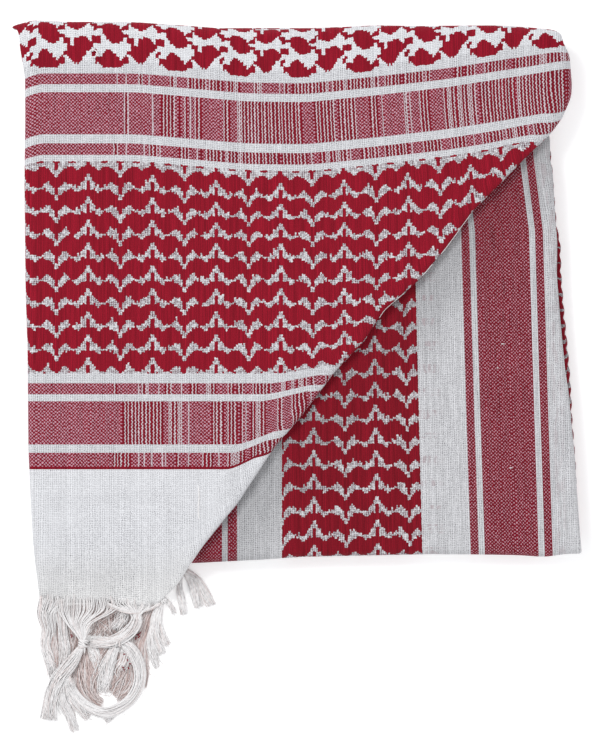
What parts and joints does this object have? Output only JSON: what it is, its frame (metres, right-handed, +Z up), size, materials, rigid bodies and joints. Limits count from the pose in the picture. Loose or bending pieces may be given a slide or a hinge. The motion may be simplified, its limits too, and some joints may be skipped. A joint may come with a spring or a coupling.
{
  "type": "keffiyeh headscarf, folded flat",
  "caption": "Square cotton headscarf with a chequered woven border and knotted fringe, folded flat, with one corner turned under so that the side border shows.",
  "frame": {"origin": "middle of the bounding box, on the surface that the folded scarf lies on", "axes": "+Z up from the surface, +Y along the warp from the fringe towards the top fold, +X towards the side border"},
  "size_m": [0.285, 0.3596, 0.0192],
  "materials": {
    "patterned_cotton": "matt plain-woven cotton with red floats, white ground and chequered bands",
    "side_border_cotton": "matt plain-woven cotton with red bands along the warp",
    "white_cotton": "matt open plain weave, undyed",
    "fringe_yarn": "soft twisted cotton yarn, knotted in tassels"
  },
  "bodies": {
    "root": {"upper_stretch": "patterned_cotton", "turned_corner": "patterned_cotton", "lower_stretch": "side_border_cotton", "inner_fold": "side_border_cotton", "hidden_layers": "white_cotton", "fringe_left": "fringe_yarn", "fringe_loop": "fringe_yarn", "fringe_corner": "fringe_yarn"}
  },
  "joints": []
}
